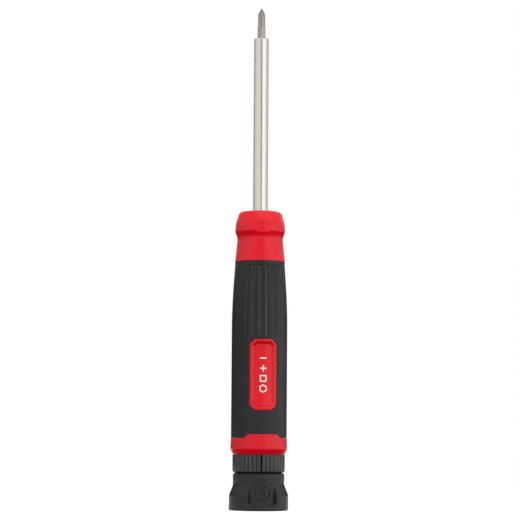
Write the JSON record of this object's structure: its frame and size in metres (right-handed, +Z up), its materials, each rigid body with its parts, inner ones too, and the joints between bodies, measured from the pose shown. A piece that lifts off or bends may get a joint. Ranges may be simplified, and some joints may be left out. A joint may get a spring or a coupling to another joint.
{
  "type": "multi-bit screwdriver",
  "caption": "Multi-bit screwdriver: a double-ended bit in a steel shaft, a rubber-gripped handle, a twist lock ring, a pull-out bit magazine and a spinning end cap.",
  "frame": {"origin": "centre of the end cap's flat foot, on which the tool stands upright", "axes": "+Z runs up the shaft to the point of the bit; the front, with its badge panel, faces -Y"},
  "size_m": [0.029, 0.029, 0.2472],
  "materials": {
    "red_plastic": "semi-gloss moulded",
    "grip_rubber": "matte soft-touch",
    "cap_rubber": "matte soft-touch",
    "ring_plastic": "moulded, ribbed",
    "black_plastic": "moulded",
    "polished_steel": "nickel-plated, polished",
    "bit_steel": "satin hardened",
    "zinc_steel": "zinc plated",
    "spring_steel": "bare spring wire",
    "magnet_nickel": "nickel plated",
    "brass": "turned",
    "seal_rubber": "matte"
  },
  "bodies": {
    "handle": {"handle_core": "red_plastic", "grip_sleeve": "grip_rubber", "badge_plate_front": "red_plastic", "badge_plate_back": "red_plastic", "shaft": "polished_steel", "socket_magnet": "magnet_nickel", "bit_clip_ring": "spring_steel"},
    "driver_bit": {"driver_bit": "bit_steel"},
    "magazine": {"bit_magazine": "black_plastic", "spare_bit_01": "bit_steel", "spare_bit_02": "bit_steel", "spare_bit_03": "bit_steel", "spare_bit_04": "bit_steel", "spare_bit_05": "bit_steel", "spare_bit_06": "bit_steel", "spare_bit_07": "bit_steel", "spare_bit_08": "bit_steel", "spare_bit_09": "bit_steel", "spare_bit_10": "bit_steel", "spare_bit_11": "bit_steel", "spare_bit_12": "bit_steel", "magazine_o_ring": "seal_rubber", "neck_washer": "black_plastic", "thrust_washer": "zinc_steel", "axle_screw": "zinc_steel"},
    "lock_ring": {"lock_ring": "ring_plastic"},
    "end_cap": {"spin_cap": "cap_rubber", "cap_bush": "brass", "cap_plug": "black_plastic"}
  },
  "joints": [
    {"name": "bit_pull", "type": "slide", "parent": "handle", "child": "driver_bit", "axis": [0, 0, 1], "range_m": [0, 0.03]},
    {"name": "magazine_pull", "type": "slide", "parent": "handle", "child": "magazine", "axis": [0, 0, -1], "range_m": [0, 0.095]},
    {"name": "lock_twist", "type": "hinge", "parent": "magazine", "child": "lock_ring", "pos_m": [0, 0, 0.0235], "axis": [0, 0, 1], "range_deg": [0, 40]},
    {"name": "cap_spin", "type": "hinge", "parent": "magazine", "child": "end_cap", "pos_m": [0, 0, 0.009], "axis": [0, 0, 1], "continuous": true}
  ]
}
